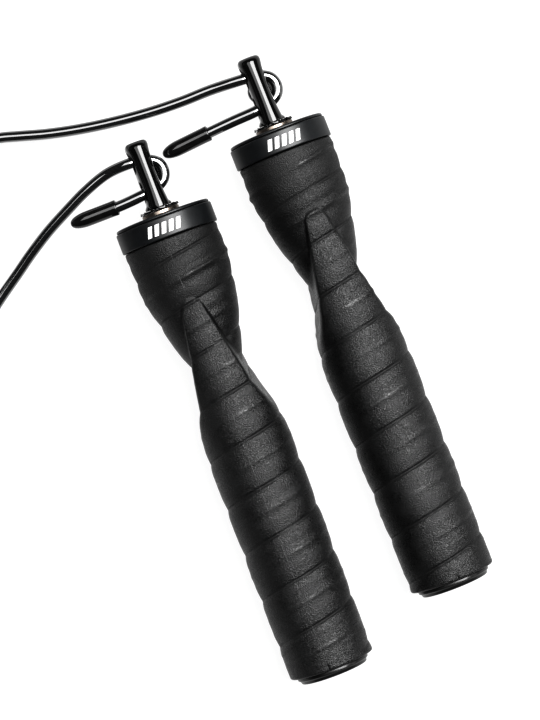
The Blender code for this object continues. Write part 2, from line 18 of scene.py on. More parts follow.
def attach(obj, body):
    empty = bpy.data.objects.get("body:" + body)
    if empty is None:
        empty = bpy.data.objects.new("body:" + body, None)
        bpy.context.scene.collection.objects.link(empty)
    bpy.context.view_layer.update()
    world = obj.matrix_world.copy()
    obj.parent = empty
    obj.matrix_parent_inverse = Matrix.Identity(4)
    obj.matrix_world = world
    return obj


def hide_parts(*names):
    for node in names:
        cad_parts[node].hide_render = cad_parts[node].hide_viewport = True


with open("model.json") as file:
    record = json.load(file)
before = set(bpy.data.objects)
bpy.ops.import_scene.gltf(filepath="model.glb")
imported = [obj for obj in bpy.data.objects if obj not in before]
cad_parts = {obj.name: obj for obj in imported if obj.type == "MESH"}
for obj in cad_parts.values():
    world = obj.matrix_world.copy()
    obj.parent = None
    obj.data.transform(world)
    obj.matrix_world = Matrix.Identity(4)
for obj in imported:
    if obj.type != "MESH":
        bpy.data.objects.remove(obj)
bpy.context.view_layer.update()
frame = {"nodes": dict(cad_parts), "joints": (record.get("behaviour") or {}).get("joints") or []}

MM = 0.001
PITCH = 16.27 * MM          # rise of the rubber wrap in one turn round the grip
CABLE_D = 3.7 * MM

# %% [markdown]
# ## Where a handle is
#
# Both handles are the same, so each piece is worked out once in the handle's own frame: the origin
# is the centre of the collar's top face, z runs along the handle to its butt, y points up from the
# floor and x to the right. The hinge of each handle gives that frame. Its axis points out of the
# head, so z is the axis turned round, and x is level.

# %% The handles' frames
ROLLS = {"left": (5, -9), "right": (-5, -5)}      # of the handle and of the post, in degrees


def handle_frame(side):
    """(origin, 3x3 matrix with the columns x, y and z) of a handle, read from its hinge."""
    hinge = next(j for j in frame["joints"] if j["name"] == f"handle_{side}_spin")
    z = -np.array(hinge["axis"], float)
    x = np.cross([0, 0, 1], z)
    x /= np.linalg.norm(x)
    return np.array(hinge["pos_m"], float), np.stack([x, np.cross(z, x), z], axis=1)


def placed(points, side, roll=0.0):
    """Points in a handle's frame, turned by roll degrees about its z, as points of the model."""
    origin, axes = handle_frame(side)
    a = radians(roll)
    turn = np.array([[cos(a), -sin(a), 0], [sin(a), cos(a), 0], [0, 0, 1]])
    return origin + np.asarray(points, float) @ turn.T @ axes.T


for side in ROLLS:
    spot, axes = handle_frame(side)
    lean = degrees(atan2(axes[0, 2], -axes[1, 2]))
    print(side, "collar at", spot.round(4), "and the handle leans", round(lean, 1))

# %% [markdown]
# ## Camera
#
# A long lens looks straight down from a metre up, so the handles keep their true shape. At their
# height the view takes in 240 by 180 mm.

# %% Camera
camera_data = bpy.data.cameras.new("camera")
camera_data.sensor_width = 36
camera_data.lens = 147.5
camera_data.clip_end = 50
camera = bpy.data.objects.new("camera", camera_data)
camera.location = (-0.01146, 0.00318, 1.0)
bpy.context.scene.collection.objects.link(camera)
bpy.context.scene.camera = camera

# %% [markdown]
# ## Surfaces from arrays
#
# Almost every piece is one closed surface: rows of points, each row a ring. One helper joins the
# rings with four-sided faces, closes the ends with a fan, turns the faces outwards and writes a UV
# map, which the patterns that follow a surface read.

# %% Surface helper
def surface(name, rings, ends="fans", uv=None):
    """A closed surface through rings, an array of (row, point in the row, xyz).

    Each ring closes on itself. With ends="fans" the first and last ring close on their own middle;
    with "loop" the last ring joins the first. uv is an array of (row, point + 1, 2).
    """
    rings = np.asarray(rings, float)
    rows, cols = rings.shape[:2]
    verts = rings.reshape(-1, 3)
    i, j = np.meshgrid(np.arange(rows if ends == "loop" else rows - 1), np.arange(cols), indexing="ij")
    i, j = i.ravel(), j.ravel()
    up, nxt = (i + 1) % rows, (j + 1) % cols
    quads = np.stack([i * cols + j, i * cols + nxt, up * cols + nxt, up * cols + j], axis=1)
    fans = np.zeros((0, 3), int)
    if ends == "fans":
        c = np.arange(cols)
        n = (c + 1) % cols
        low, high = rows * cols, rows * cols + 1
        last = (rows - 1) * cols
        fans = np.concatenate([
            np.stack([n, c, np.full(cols, low)], axis=1),
            np.stack([last + c, last + n, np.full(cols, high)], axis=1),
        ])
        verts = np.concatenate([verts, rings[0].mean(0)[None], rings[-1].mean(0)[None]])
    corners = verts[quads]
    volume = np.einsum("ij,ij->i", corners[:, 0], np.cross(corners[:, 1], corners[:, 2])).sum()
    volume += np.einsum("ij,ij->i", corners[:, 0], np.cross(corners[:, 2], corners[:, 3])).sum()
    if len(fans):
        tips = verts[fans]
        volume += np.einsum("ij,ij->i", tips[:, 0], np.cross(tips[:, 1], tips[:, 2])).sum()
    mesh = bpy.data.meshes.new(name)
    inside_out = volume < 0
    faces = [f[::-1] if inside_out else f for f in quads.tolist() + fans.tolist()]
    mesh.from_pydata(verts.tolist(), [], faces)
    if uv is not None:
        corner_uv = np.stack([uv[i, j], uv[i, j + 1], uv[up, j + 1], uv[up, j]], axis=1)
        if inside_out:
            corner_uv = corner_uv[:, ::-1]
        flat = corner_uv.reshape(-1, 2)
        fan_uv = np.zeros((len(fans) * 3, 2))
        if len(fans):
            fan_uv[:3 * cols] = uv[0, 0]
            fan_uv[3 * cols:] = uv[-1, 0]
        layer = mesh.uv_layers.new(name="wrap")
        layer.data.foreach_set("uv", np.concatenate([flat, fan_uv]).astype(np.float32).ravel())
    mesh.shade_smooth()
    mesh.validate()
    piece = bpy.data.objects.new(name, mesh)
    bpy.context.scene.collection.objects.link(piece)
    return piece


def circle(count, phase=0.0):
    """Angles of count points round a turn."""
    return phase + np.arange(count) * 2 * pi / count


def soften(profile, radius, steps=4):
    """A closed outline with each corner rounded: a corner becomes a quadratic curve between the
    points at the given distance before and after it, or nearer where an edge is short."""
    profile = np.asarray(profile, float)
    before, after = np.roll(profile, 1, axis=0), np.roll(profile, -1, axis=0)
    back, ahead = before - profile, after - profile
    long_back = np.linalg.norm(back, axis=1, keepdims=True)
    long_ahead = np.linalg.norm(ahead, axis=1, keepdims=True)
    start = profile + back / long_back * np.minimum(radius, 0.45 * long_back)
    end = profile + ahead / long_ahead * np.minimum(radius, 0.45 * long_ahead)
    t = np.linspace(0, 1, steps + 1)[None, :, None]
    curve = start[:, None] * (1 - t) ** 2 + profile[:, None] * 2 * t * (1 - t) + end[:, None] * t ** 2
    return curve.reshape(-1, 2)


def turned(name, profile, side, count, edge):
    """A part from the lathe: a closed outline of (radius, z), its corners softened by edge, turned
    once round the handle's z in count steps. A point is (radius cos a, radius sin a, z). An outline
    that touches the axis is left open there and closed by fans."""
    outline = np.asarray(profile, float)
    solid = bool((outline[:, 0] == 0).any())
    if solid:
        while not (outline[0, 0] == 0 and outline[-1, 0] == 0):
            outline = np.roll(outline, 1, axis=0)
        on_axis = 5                # points that softening makes of the corner on the axis
        outline = soften(outline, edge)[on_axis:-on_axis]
    else:
        outline = soften(outline, edge)
    a = circle(count)
    r, z = outline[:, :1], outline[:, 1:]
    rings = np.stack([r * np.cos(a), r * np.sin(a), np.broadcast_to(z, (len(r), count))], axis=2)
    run = np.broadcast_to(circle(count + 1) / (2 * pi), (len(r), count + 1))
    uv = np.stack([run, np.broadcast_to(z, (len(r), count + 1))], axis=2)
    return surface(name, placed(rings, side, ROLLS[side][0]), "fans" if solid else "loop", uv)


# %% [markdown]
# ## The cable's way
#
# Only the first stretch of cable at each handle is in view. The rest, which makes it a full
# ten-foot rope, lies beside it in a neat coil with two straps. So the cable is one long path: out of
# the left cap, through the left post, over the floor, nineteen and a half turns of coil in four
# layers, and back to the right post and cap. A centripetal Catmull-Rom curve goes through all of the
# route's points. It bends smoothly and makes no loop or kink of its own between them.

# %% Route of the cable
LOOP = np.array([
    (-4.5, 0, -19.9), (-0.5, 0, -19.6), (2.7, 0, -18.7), (5.1, 0, -17.0), (6.0, 0, -14.2),
    (5.1, 0, -11.5), (2.7, 0, -9.8), (-0.5, 0, -8.9), (-4.2, 0, -8.4),
]) * MM
TAIL = {
    "left": np.array([(-8.5, 0.4, -8.0), (-13.0, -0.2, -7.8)]) * MM,
    "right": np.array([(-12.0, -0.4, -8.1), (-20.9, -1.6, -7.6)]) * MM,
}
CAP_TIP = {"left": np.array((-29.5, -2.2, -7.8)) * MM, "right": np.array((-37.9, -4.2, -6.4)) * MM}
RUN = {
    "left": np.array([
        (-65.9, 65.3, 15.3), (-73.0, 59.7, 13.5), (-79.4, 53.3, 11.6), (-85.9, 46.3, 9.6),
        (-91.9, 38.7, 7.6), (-96.2, 32.6, 6.2), (-102.5, 23.8, 4.3), (-108.3, 14.8, 3.0),
    ]) * MM,
    "right": np.array([
        (-31.3, 93.3, 15.2), (-41.0, 89.6, 13.6), (-50.6, 86.5, 11.9), (-62.2, 83.5, 9.8),
        (-74.6, 81.0, 7.7), (-86.3, 79.4, 5.9), (-96.3, 78.7, 4.6), (-102.5, 78.2, 4.1),
        (-116.0, 75.4, 4.5), (-130.2, 69.4, 6.9), (-144.2, 60.3, 10.8),
    ]) * MM,
}
COIL_CENTRE = np.array((-138.0, 25.0)) * MM
COIL_LENGTH = 2.70            # metres of cable in the coil
COIL_TURNS, COIL_LAYERS = 19.53, 4
COIL_START = radians(320)
COIL_R = COIL_LENGTH / (2 * pi * COIL_TURNS)
COIL_GAP = CABLE_D + 0.1 * MM
COIL_LIFT = 1.4 * MM          # room for the straps under the coil
COIL_REACH = 36 * MM          # no turn of the coil lies further than this from its centre


def coil_path(turn):
    """Centreline of the coil after so many turns: the radius shrinks by one cable in each turn of
    an even layer and grows again in an odd one, and the height steps up in the first quarter turn
    of each layer."""
    per_layer = COIL_TURNS / COIL_LAYERS
    layer = np.minimum((turn / per_layer).astype(int), COIL_LAYERS - 1)
    into = turn - layer * per_layer
    inwards = np.where(layer % 2, per_layer - into, into)
    r = COIL_R + COIL_GAP * (per_layer / 2 - inwards)
    a = COIL_START - 2 * pi * turn
    climb = np.clip(into / 0.25, 0, 1)
    climb = np.where(layer > 0, climb * climb * (3 - 2 * climb), 0)
    z = COIL_LIFT + CABLE_D / 2 + COIL_GAP * (np.maximum(layer - 1, 0) + climb)
    return np.stack([COIL_CENTRE[0] + r * np.cos(a), COIL_CENTRE[1] + r * np.sin(a), z], axis=1)


def through(points, per_span):
    """A centripetal Catmull-Rom curve through the points, each span cut in per_span steps. Along a
    span, a point is a blend of blends of its four neighbours, with the square roots of the chords
    as the knots."""
    p = np.concatenate([[2 * points[0] - points[1]], points, [2 * points[-1] - points[-2]]])
    chord = np.sqrt(np.linalg.norm(np.diff(p, axis=0), axis=1))
    p0, p1, p2, p3 = (p[k:len(p) - 3 + k, None] for k in range(4))
    t1 = chord[:-2, None, None]
    t2 = t1 + chord[1:-1, None, None]
    t3 = t2 + chord[2:, None, None]
    t = t1 + (t2 - t1) * np.linspace(0, 1, per_span, endpoint=False)[None, :, None]
    a1 = (t1 - t) / t1 * p0 + t / t1 * p1
    a2 = (t2 - t) / (t2 - t1) * p1 + (t - t1) / (t2 - t1) * p2
    a3 = (t3 - t) / (t3 - t2) * p2 + (t - t2) / (t3 - t2) * p3
    b1 = (t2 - t) / t2 * a1 + t / t2 * a2
    b2 = (t3 - t) / (t3 - t1) * a2 + (t - t1) / (t3 - t1) * a3
    curve = (t2 - t) / (t2 - t1) * b1 + (t - t1) / (t2 - t1) * b2
    return np.concatenate([curve.reshape(-1, 3), points[-1:]])


def even(path, step):
    """The path with its points set out again at an equal step along it."""
    run = np.concatenate([[0], np.cumsum(np.linalg.norm(np.diff(path, axis=0), axis=1))])
    at = np.linspace(0, run[-1], max(2, round(run[-1] / step)))
    return np.stack([np.interp(at, run, path[:, k]) for k in range(3)], axis=1)


def post_end(side):
    """(loop and tail as route points, the tail's end, the cap's tip) at one post."""
    loop = placed(LOOP, side, ROLLS[side][1])
    tail = placed(TAIL[side], side)
    tip = placed(CAP_TIP[side], side)
    into_cap = tail[-1] + (tip - tail[-1]) / np.linalg.norm(tip - tail[-1]) * 7.5 * MM
    return np.concatenate([loop, tail, [into_cap]]), tail[-1], tip


FINE = 0.3 * MM               # step of the finished path
ends = {side: post_end(side) for side in ROLLS}
coil = coil_path(np.linspace(0, COIL_TURNS, 24 * 20 + 1))      # about 24 points a turn
route = np.concatenate([
    ends["left"][0][::-1], RUN["left"], coil, RUN["right"][::-1], ends["right"][0],
])
cable_path = even(through(route, per_span=24), FINE)
# the long cable ends, and a bend begins, at the second route point of each loop
eyes = [int(np.argmin(np.linalg.norm(cable_path - ends[s][0][1], axis=1))) for s in ROLLS]
free = cable_path[eyes[0]:eyes[1] + 1]
free_length = np.linalg.norm(np.diff(free, axis=0), axis=1).sum()
whole_length = np.linalg.norm(np.diff(cable_path, axis=0), axis=1).sum()
print("cable between the posts", round(free_length, 4), "m, whole cable", round(whole_length, 4), "m")

# %% [markdown]
# A cable's skin is a tube: a small circle carried along the path. The circle stands square to the
# path, with one axis level, so it never twists. The two tight bends at the posts are tubes of their
# own, because the posts hold them in shape, and each starts where the long one ends.

# %% Cable and its bends
def tube(name, path, radius, count=20):
    """A tube round a path. With T along the path and up the vertical, the ring's axes are
    S = T x up and S x T, and a point is the path plus radius (S cos a + (S x T) sin a)."""
    along = np.gradient(path, axis=0)
    along /= np.linalg.norm(along, axis=1, keepdims=True)
    level = np.cross(along, [0, 0, 1.0])
    level /= np.linalg.norm(level, axis=1, keepdims=True)
    other = np.cross(level, along)
    a = circle(count)[None, :, None]
    rings = path[:, None] + radius * (level[:, None] * np.cos(a) + other[:, None] * np.sin(a))
    run = np.concatenate([[0], np.cumsum(np.linalg.norm(np.diff(path, axis=0), axis=1))])
    u, v = np.meshgrid(run, np.linspace(0, 1, count + 1), indexing="ij")
    return surface(name, rings, "fans", np.stack([u, v], axis=2))


def thinned(path):
    """Every third point of the path, every sixth where it lies in the coil, and both its ends: the
    bends at the posts need the finest rings and the coil the fewest."""
    away = np.linalg.norm(path[:, :2] - COIL_CENTRE, axis=1)
    number = np.arange(len(path))
    keep = (number % np.where(away > COIL_REACH, 3, 6) == 0) | (number == len(path) - 1)
    return path[keep]


free = thinned(free)
cable = tube("cable", free, CABLE_D / 2)
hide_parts("cable_left", "cable_right", "cable_coil")
loops = {}
for side, part in (("left", cable_path[:eyes[0] + 1]), ("right", cable_path[eyes[1]:])):
    loops[side] = tube(f"cable_loop_{side}_skin", part, CABLE_D / 2, 40)
    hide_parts(f"cable_loop_{side}")
    print(side, "loop and tail", round(np.linalg.norm(np.diff(part, axis=0), axis=1).sum() * 1000, 1), "mm")
for piece in (cable, *loops.values()):
    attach(piece, "rope")

# %% [markdown]
# ## Caps and straps
#
# Each cable end wears a pointed vinyl cap, pushed on and a little wider than the cable. Its mouth
# has a small rounded lip. The coil is held by two hook-and-loop straps.

# %% End caps
def end_cap(side):
    """A cap turned round the line from the tail's end to the tip: a rounded lip, a straight wall
    and a nose whose radius falls as cos(a)^0.8 while its length grows as sin(a)."""
    base, tip = ends[side][1], ends[side][2]
    length = np.linalg.norm(tip - base)
    z_axis = (tip - base) / length
    x_axis = np.cross([0, 0, 1.0], z_axis)
    x_axis /= np.linalg.norm(x_axis)
    y_axis = np.cross(z_axis, x_axis)
    wall, bore, nose_long, lip_high = 2.6 * MM, 2.0 * MM, 6.2 * MM, 0.3 * MM
    a = np.radians(np.linspace(0, 89, 22))
    nose = np.stack([wall * np.cos(a) ** 0.8, length - nose_long + nose_long * np.sin(a)], axis=1)
    lip = np.radians(np.linspace(180, 0, 9))
    mouth_r = (wall + bore) / 2 + 0.02 * MM + (wall - bore) / 2 * np.cos(lip)
    mouth = np.stack([mouth_r, lip_high - lip_high * np.sin(lip)], axis=1)
    band = np.array([(wall + 0.04 * MM, 0.9 * MM), (wall + 0.02 * MM, 1.3 * MM), (wall, 1.8 * MM)])
    profile = np.concatenate([[(bore, 6 * MM)], mouth, band, nose])
    c = circle(56)
    r, z = profile[:, :1, None], profile[:, 1:, None]
    ring = x_axis * np.cos(c)[:, None] + y_axis * np.sin(c)[:, None]
    return surface(f"end_cap_{side}_skin", base + r * ring[None] + z * z_axis)


caps = {side: end_cap(side) for side in ROLLS}
for side, cap in caps.items():
    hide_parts(f"end_cap_{side}")
    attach(cap, "rope")

# %% Coil straps
COIL_HALF_W = COIL_GAP * COIL_TURNS / COIL_LAYERS / 2 + CABLE_D / 2
COIL_HEIGHT = COIL_GAP * COIL_LAYERS


def strap(name, angle):
    """A closed band round the coil's section. Its middle line is a rounded rectangle, and along it
    runs a flat section with rounded edges, out and along being the section's own axes."""
    w, h, corner = COIL_HALF_W + 1.5 * MM, COIL_HEIGHT / 2 + 0.75 * MM, 3.2 * MM
    line = soften([(w, h), (-w, h), (-w, -h), (w, -h)], corner, 10)
    closed = np.vstack([line, line[:1]])
    line = even(np.column_stack([closed, np.zeros(len(closed))]), 0.6 * MM)[:-1, :2]
    ahead = np.roll(line, -1, axis=0) - np.roll(line, 1, axis=0)
    ahead /= np.linalg.norm(ahead, axis=1, keepdims=True)
    out = np.stack([ahead[:, 1], -ahead[:, 0]], axis=1)
    half_w, half_t = 3.4 * MM, 0.45 * MM
    section = [(half_w, half_t), (-half_w, half_t), (-half_w, -half_t), (half_w, -half_t)]
    section = soften(section, 0.3 * MM, 3)
    mid = np.array([COIL_R * cos(angle), COIL_R * sin(angle)])
    radial, tangent = np.array([cos(angle), sin(angle), 0]), np.array([-sin(angle), cos(angle), 0])
    centre = np.array([*(COIL_CENTRE + mid), COIL_LIFT + COIL_HEIGHT / 2])
    r = line[:, None, 0] + out[:, None, 0] * section[None, :, 1]
    z = line[:, None, 1] + out[:, None, 1] * section[None, :, 1]
    points = centre + r[..., None] * radial + z[..., None] * np.array([0, 0, 1.0])
    points = points + section[None, :, :1] * tangent
    return surface(name, points, "loop")


straps = [strap("coil_strap_1", radians(75)), strap("coil_strap_2", radians(235))]
for number, piece in enumerate(straps, start=1):
    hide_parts(f"coil_tie_{number}")
    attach(piece, "rope")

# %% [markdown]
# ## The grip
#
# The grip is one rubber moulding. Under the collar it is a cone that narrows to a neck; the neck
# grows out of it as a flat-sided spine with a rounded tip, widening to the round handle. A band of
# rubber seems to be wrapped round it: its edge climbs one pitch in each turn, with a soft hollow
# along the edge and a low ridge half way. The surface is one function, the radius at each angle and
# height, so the whole grip is a sheet of rings.

# %% Shape of the grip
COLLAR_H, COLLAR_R = 8.0 * MM, 16.75 * MM
GRIP_END = 160.3 * MM
GRIP_R, TOP_R, NECK_R = 14.75 * MM, 16.2 * MM, 8.4 * MM
EDGE_AT = 14.7 * MM          # where the band's edge crosses the front of the left grip
RIDGE_AT = 7.6 * MM          # from the band's edge to the ridge, along the grip


def smoothstep(t):
    """0 up to t = 0, 1 from t = 1, and 3 t^2 - 2 t^3 between."""
    t = np.clip(t, 0, 1)
    return t * t * (3 - 2 * t)


def soft_max(a, b, k):
    """The larger of two, with the corner between them filled to about a quarter of k."""
    h = np.clip(0.5 + 0.5 * (a - b) / k, 0, 1)
    return b + (a - b) * h + k * h * (1 - h)


def soft_min(a, b, k):
    return -soft_max(-a, -b, k)


def cone(z):
    """Radius of the head's cone: straight under the collar, then narrower faster and faster."""
    t = np.clip((z - 18 * MM) / (35.7 * MM), 0, 1.25)
    return TOP_R - (TOP_R - NECK_R) * t ** 1.6


def spine_half_width(z):
    """Half width of the spine: a rounded tip, then a straight flare and a soft shoulder."""
    t = (z - 30.3 * MM) / (47.4 * MM)
    width = (3.3 + 9.8 * t) * MM + 1.6 * MM * smoothstep((t - 0.65) / 0.30)
    tip = np.clip((z - 29.4 * MM) / (3.2 * MM), 0, 1)
    return width * np.sqrt(1 - (1 - tip) ** 2)


def band_phase(angle, z):
    """Distance along z from the nearest edge of the wrapped band, from minus to plus half a pitch.
    The edge climbs towards the head as the angle falls from the front (90 degrees) to the right."""
    turn = (angle - pi / 2) / (2 * pi)
    return (z - EDGE_AT - PITCH * turn + PITCH / 2) % PITCH - PITCH / 2


def relief(angle, z):
    """Height of the wrap over the plain grip, in bells exp(-(d / width)^2) of the distance d from
    the band's edge: a wide and a narrow hollow on the edge, steeper on the butt's side, and a low
    ridge half way with a dip on each side. The ridge comes and goes round the handle and stands
    highest on the cone. Slow waves lie under it all."""
    d = band_phase(angle, z) / MM
    ridge = (d - RIDGE_AT / MM) % (PITCH / MM)
    ridge = np.minimum(ridge, PITCH / MM - ridge)
    wide = np.where(d > 0, 2.0, 3.0)
    hollow = 0.42 * np.exp(-(d / wide) ** 2) + 0.17 * np.exp(-(d / 0.65) ** 2)
    comes = 0.55 + 0.45 * np.cos(2 * (angle - radians(62)) + 0.8 * np.sin(z / (9 * MM)))
    rise = (0.20 * np.exp(-(ridge / 0.8) ** 2) - 0.12 * np.exp(-((ridge - 2.2) / 1.3) ** 2)) * comes
    rise = rise * (1 + 1.7 * (1 - smoothstep((z - 24 * MM) / (14 * MM))))
    waves = 0.06 * np.sin(3 * angle + z / (5.3 * MM)) + 0.05 * np.sin(5 * angle - z / (3.1 * MM) + 1.0)
    return (0.06 - hollow + rise + 0.6 * waves) * MM


def grip_radius(angle, z):
    """Radius of the grip: the larger of the cone and the handle. The handle is round, a little
    fuller near its top, but no wider than the spine, so its radius is at most the spine's half
    width over |cos angle|. The relief is added in full, but only a quarter of it at both ends."""
    side = np.maximum(np.abs(np.cos(angle)), 1e-3)
    outer = GRIP_R + 0.45 * MM * np.exp(-((z - 34 * MM) / (5 * MM)) ** 2)
    spine = soft_min(outer, spine_half_width(z) / side, 1.6 * MM)
    plain = soft_max(cone(z), spine, 1.3 * MM) - 0.12 * MM * smoothstep((z - 26 * MM) / (8 * MM))
    fade = smoothstep((z - 9 * MM) / (4 * MM)) * smoothstep((GRIP_END - z) / (5 * MM))
    lift = relief(angle, z)
    # towards the butt the raised parts are worn down a little
    worn = 0.12 * MM * smoothstep((z - 130 * MM) / (25 * MM)) * (lift > 0)
    return plain + lift * (0.25 + 0.75 * fade) - worn


def grip(side):
    """Rings down the outside, a rounded end, a shallow seat for the plug, and a bore up the middle.
    Point (angle, z) lies at (r cos angle, r sin angle, z) with r = grip_radius(angle, z)."""
    count, down = 256, 368
    a = circle(count)[None]
    turned_round = 0.0 if side == "left" else pi      # one moulding, and the right one lies turned over
    z = np.linspace(COLLAR_H + 0.3 * MM, GRIP_END - 0.7 * MM, down)[:, None]
    r = grip_radius(a + turned_round, z)
    notch = 0.5 * MM * np.exp(-((a - pi / 2) * GRIP_R / (0.5 * MM)) ** 2)
    r = r - notch * smoothstep((z - 157.5 * MM) / (2 * MM))
    t = np.radians(np.linspace(10, 90, 7))[:, None]
    roll_r = r[-1:] - 0.7 * MM * (1 - np.cos(t))
    roll_z = z[-1] + 0.7 * MM * np.sin(t)
    seat_and_bore = np.array([
        (13.4, 160.3), (12.95, 160.2), (12.8, 159.9), (12.8, 159.5), (12.0, 159.45), (6.6, 159.45),
        (6.6, 20.3), (8.5, 20.3), (8.5, 8.4),
    ]) * MM
    in_r = seat_and_bore[:, :1] + 0 * a
    in_z = seat_and_bore[:, 1:]
    top_r = np.stack([r[0] - 0.9 * MM, r[0] - 0.25 * MM])
    top_z = np.array([[8.3 * MM], [8.32 * MM]])
    r_all = np.concatenate([top_r, r[1:], roll_r, in_r])
    z_all = np.concatenate([top_z, z[1:], roll_z, in_z]) + 0 * a
    rings = np.stack([r_all * np.cos(a), r_all * np.sin(a), z_all], axis=2)
    run = np.broadcast_to(circle(count + 1) / (2 * pi), (len(r_all), count + 1))
    uv = np.stack([run, np.broadcast_to(z_all[:, :1], run.shape)], axis=2)
    return surface(f"grip_{side}_skin", placed(rings, side, ROLLS[side][0]), "loop", uv)


grips = {side: grip(side) for side in ROLLS}
for side, piece in grips.items():
    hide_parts(f"grip_{side}")
    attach(piece, f"handle_{side}")
    print(piece.name, len(piece.data.polygons), "faces")

# %% [markdown]
# ## Turned pieces of the head and the butt
#
# The collar, its thin top cover, the bearing's outer ring and the butt plug all come from a lathe:
# an outline of radii and heights, with its corners rounded, turned once round the handle's axis.

# %% Collar, cover, ring and plug
turned_pieces = []


def turned_pair(name, profile, replaced, count, edge):
    """The same lathe part on both handles, from an outline in mm, riding on the handle."""
    for side in ROLLS:
        piece = turned(f"{name}_{side}", np.array(profile) * MM, side, count, edge)
        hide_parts(f"{replaced}_{side}")
        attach(piece, f"handle_{side}")
        turned_pieces.append(piece)


turned_pair("collar_ring", [
    (16.62, 8.0), (16.75, 7.7), (16.75, 2.0), (16.72, 1.45), (16.45, 1.2), (6.75, 1.2), (6.75, 3.6),
    (5.5, 3.6), (5.5, 8.0), (6.6, 8.0), (6.6, 20.0), (8.2, 20.0), (8.2, 8.0),
], "collar", count=160, edge=0.12 * MM)
turned_pair("top_cover", [
    (16.25, 0.95), (16.3, 0.7), (16.15, 0.2), (15.75, 0.0), (9.2, 0.0), (8.9, 0.15), (7.3, 0.15),
    (6.75, 0.05), (6.75, 0.9),
], "head_cover", count=160, edge=0.1 * MM)
turned_pair("bearing_race", [
    (6.45, -1.45), (6.2, -1.7), (5.45, -1.7), (5.25, -1.55), (5.25, 3.3), (6.45, 3.3),
], "bearing_outer_ring", count=128, edge=0.12 * MM)
turned_pair("butt_cap", [
    (0, 149.0), (4.5, 149.0), (4.5, 160.55), (12.4, 160.55), (12.4, 161.6), (11.8, 161.9), (11.45, 162.9),
    (11.1, 163.0), (9.25, 163.0), (8.85, 162.6), (8.6, 162.55), (0, 162.5),
], "butt_plug", count=128, edge=0.22 * MM)

# %% [markdown]
# ## The post
#
# The post is a flattened bar with round faces: its section is two half ellipses with a short
# straight middle, which leaves room for the two holes. It starts as one closed surface. The holes
# are cut with flared plugs, which leaves each mouth with the rounded edge that a casting has, so the
# cable isn't chafed. A domed boss on the lower leg fills the inside of the cable's bend.

# %% Post
POST_W = 3.3 * MM            # half the post's width
POST_D = 5.5 * MM            # half its depth, from the axis to the face
POST_TOP = -25.9 * MM
HEAD_H = 2.2 * MM            # height of the rounding at its top
WAIST_Z = -14.4 * MM         # where it is narrowest
CROWN = 1.0 * MM             # how much taller than wide its rounded front is
HOLES = ((-12.7 * MM, -6.1 * MM), (-22.8 * MM, -15.9 * MM))
BOSS_X = {"left": 1.4 * MM, "right": 0.5 * MM}      # the boss isn't quite central
BOSS_Z = -14.3 * MM


def post_body():
    """Rings along z. With s the sine and c the cosine of the angle round the ring, a point is
    (w c, crown s + straight sign(s)): two half ellipses with a straight middle. w grows with the
    cube of the distance from the waist, and all three shrink along a quarter ellipse at the top."""
    z = np.concatenate([
        POST_TOP + HEAD_H * (1 - np.cos(np.radians(np.linspace(4, 90, 16)))),
        np.linspace(-23.5, -4.2, 60) * MM, np.array([-3.7, -3.2, -2.9, -2.85]) * MM,
    ])[:, None]
    swell = np.where(z < WAIST_Z, 0.95, 0.6) * MM * np.abs((z - WAIST_Z) / (11.5 * MM)) ** 3
    round_off = np.sqrt(np.clip(1 - ((POST_TOP + HEAD_H - z) / HEAD_H).clip(0) ** 2, 0.004, 1))
    foot = 1 - 0.06 * smoothstep((z + 3.3 * MM) / (0.5 * MM))
    w = (POST_W + swell) * foot * (0.60 + 0.40 * round_off)
    w = w * np.where(round_off < 0.1, 0.6, 1)           # the first ring is drawn in further
    shrink = 0.42 + 0.58 * round_off
    crown = (POST_W + CROWN) * shrink
    straight = (POST_D - POST_W) * (0.55 + 0.45 * round_off) - CROWN * shrink
    a = circle(72, pi / 72)[None]
    y = crown * np.sin(a) + straight * np.sign(np.sin(a))
    return np.stack([w * np.cos(a), y, z + 0 * a], axis=2)


def hole_plug(z0, z1):
    """Rings along x: a rounded oblong across the post that grows by the flare at both mouths. The
    flare is a quarter ellipse, 0.7 mm at its most, that ends just inside the post's side."""
    deep, starts, long = 0.7 * MM, 2.5 * MM, 0.75 * MM
    mouth = 3.2 - 0.7 * (1 - np.cos(np.radians(np.linspace(90, 15, 6))))
    half_x = np.concatenate([[1.0], mouth, np.linspace(3.2, 4.6, 4)]) * MM
    x = np.round(np.concatenate([-half_x[::-1], half_x]), 7)       # to a tenth of a micron
    run = (np.abs(x) - starts).clip(0) / long
    flare = (deep * (1 - np.sqrt(np.clip(1 - run ** 2, 0, 1))))[:, None]
    middle, half = (z0 + z1) / 2, (z1 - z0) / 2
    corner, half_y = 2.1 * MM, 2.4 * MM
    a = circle(48, pi / 48)[None]
    y = (half_y - corner) * np.sign(np.sin(a)) + (corner + flare) * np.sin(a)
    z = middle + (half - corner) * np.sign(np.cos(a)) + (corner + flare) * np.cos(a)
    return np.stack([x[:, None] + 0 * a, y, z], axis=2)


def boss_dome(side):
    """A dome on the lower leg, its axis along y: a quarter ellipse over a rim with a rolled edge.
    The outline is in mm, as (radius, y)."""
    a = circle(64)
    t = np.radians(np.linspace(1, 90, 16))
    dome = np.stack([4.2 * np.sin(t), -3.9 + 2.4 * np.cos(t)], axis=1)
    rim = np.array([(4.2, -4.5), (4.12, -4.85), (3.9, -5.07), (3.55, -5.15), (0.02, -5.15)])
    profile = np.concatenate([dome, rim]) * MM
    r, y = profile[:, :1], profile[:, 1:]
    return np.stack([r * np.cos(a) + BOSS_X[side], y + 0 * a, r * np.sin(a) + BOSS_Z], axis=2)


